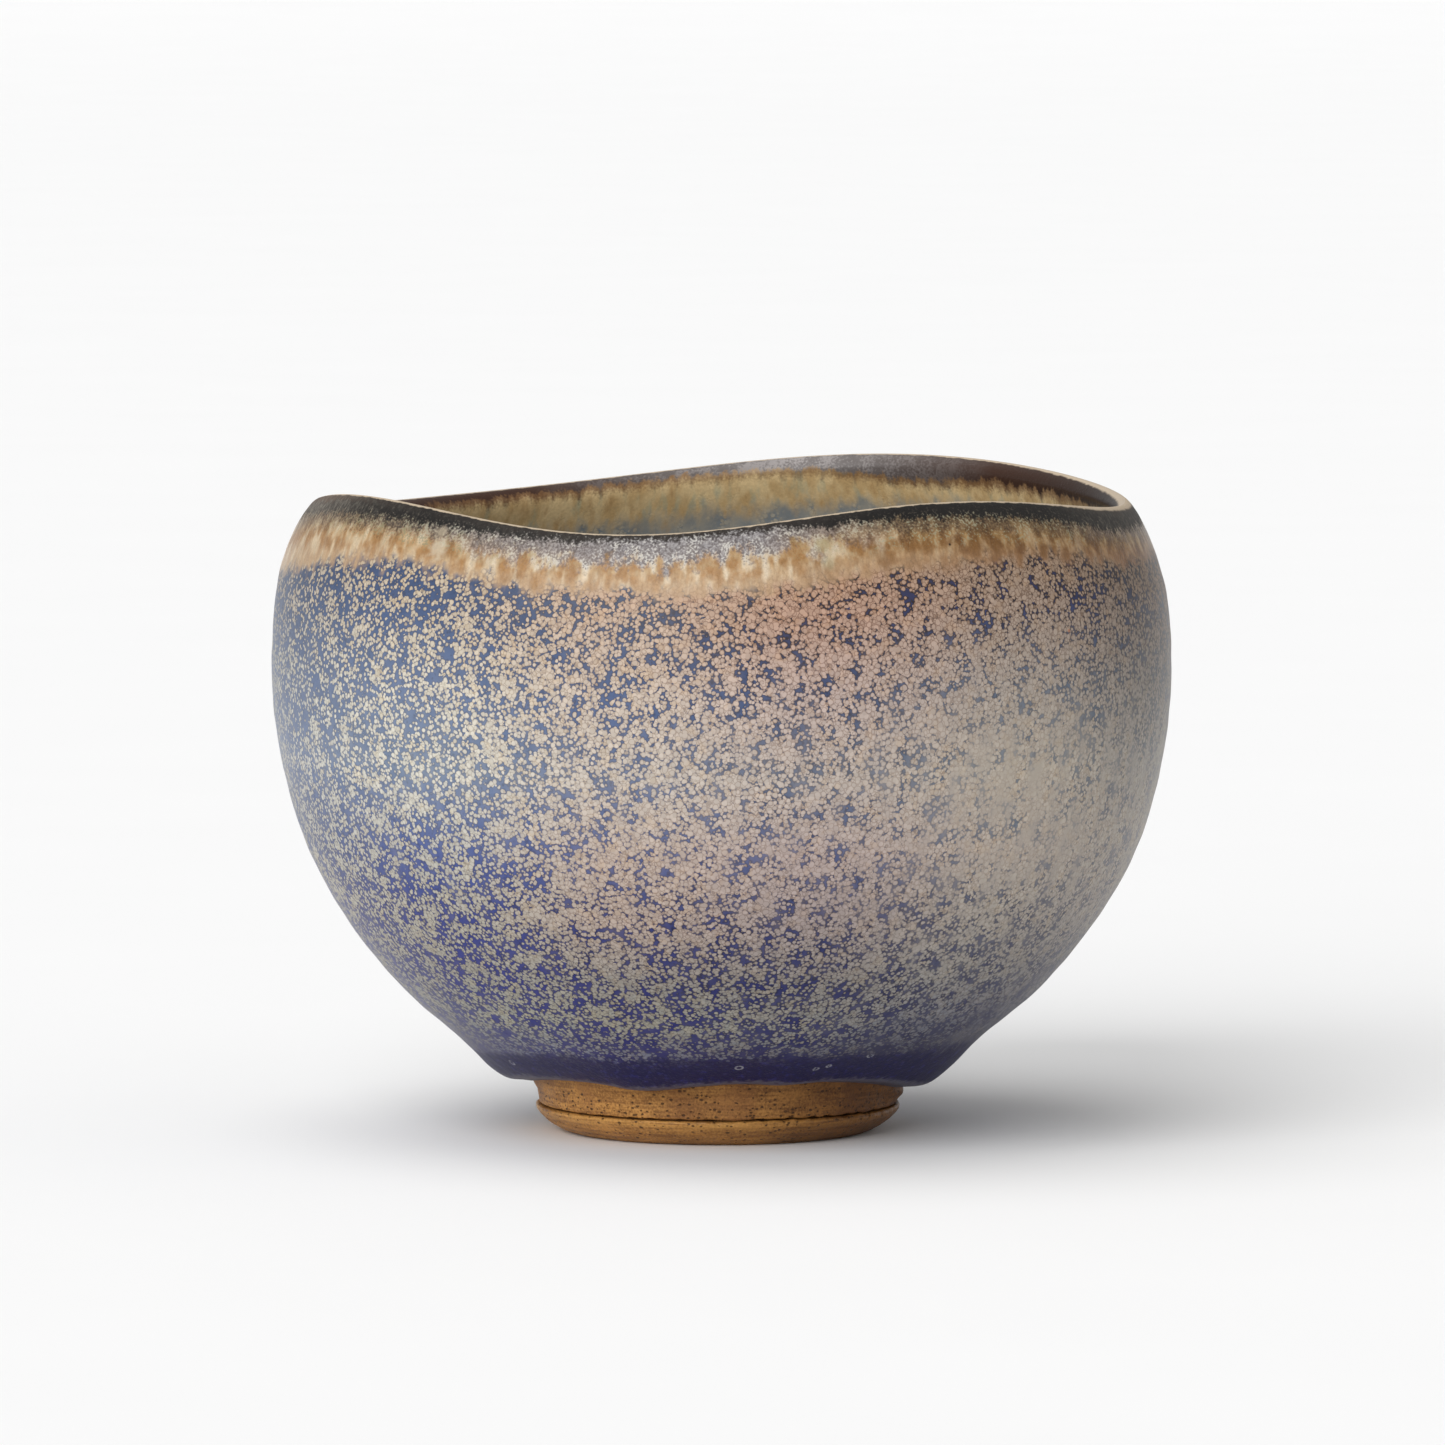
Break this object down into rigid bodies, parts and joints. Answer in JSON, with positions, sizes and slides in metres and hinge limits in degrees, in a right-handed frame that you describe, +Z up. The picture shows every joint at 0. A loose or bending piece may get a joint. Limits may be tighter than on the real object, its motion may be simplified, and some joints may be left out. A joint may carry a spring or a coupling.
{
  "type": "tea bowl",
  "caption": "Hand-thrown round tea bowl with a waving lip, a speckled coat outside, an iron-brown rim and a small bare clay foot ring.",
  "frame": {"origin": "centre of the flat face of the foot ring that the bowl stands on", "axes": "+Z up along the turning axis, -Y towards the front where the lip dips lowest, +X to the right"},
  "size_m": [0.116, 0.116, 0.0845],
  "materials": {
    "fired_clay": "bare golden-brown stoneware, turned, satin with dark specks",
    "slip": "dark, slightly ragged bead",
    "speckled_glaze": "satin, tan grains on a cobalt ground",
    "inside_glaze": "satin, mottled slate blue",
    "iron_glaze": "glossy, near-black lip running to amber drips"
  },
  "bodies": {
    "root": {"clay_body": "fired_clay", "foot_ring": "fired_clay", "luting_slip": "slip", "outer_glaze": "speckled_glaze", "inner_glaze": "inside_glaze", "rim_glaze": "iron_glaze"}
  },
  "joints": []
}
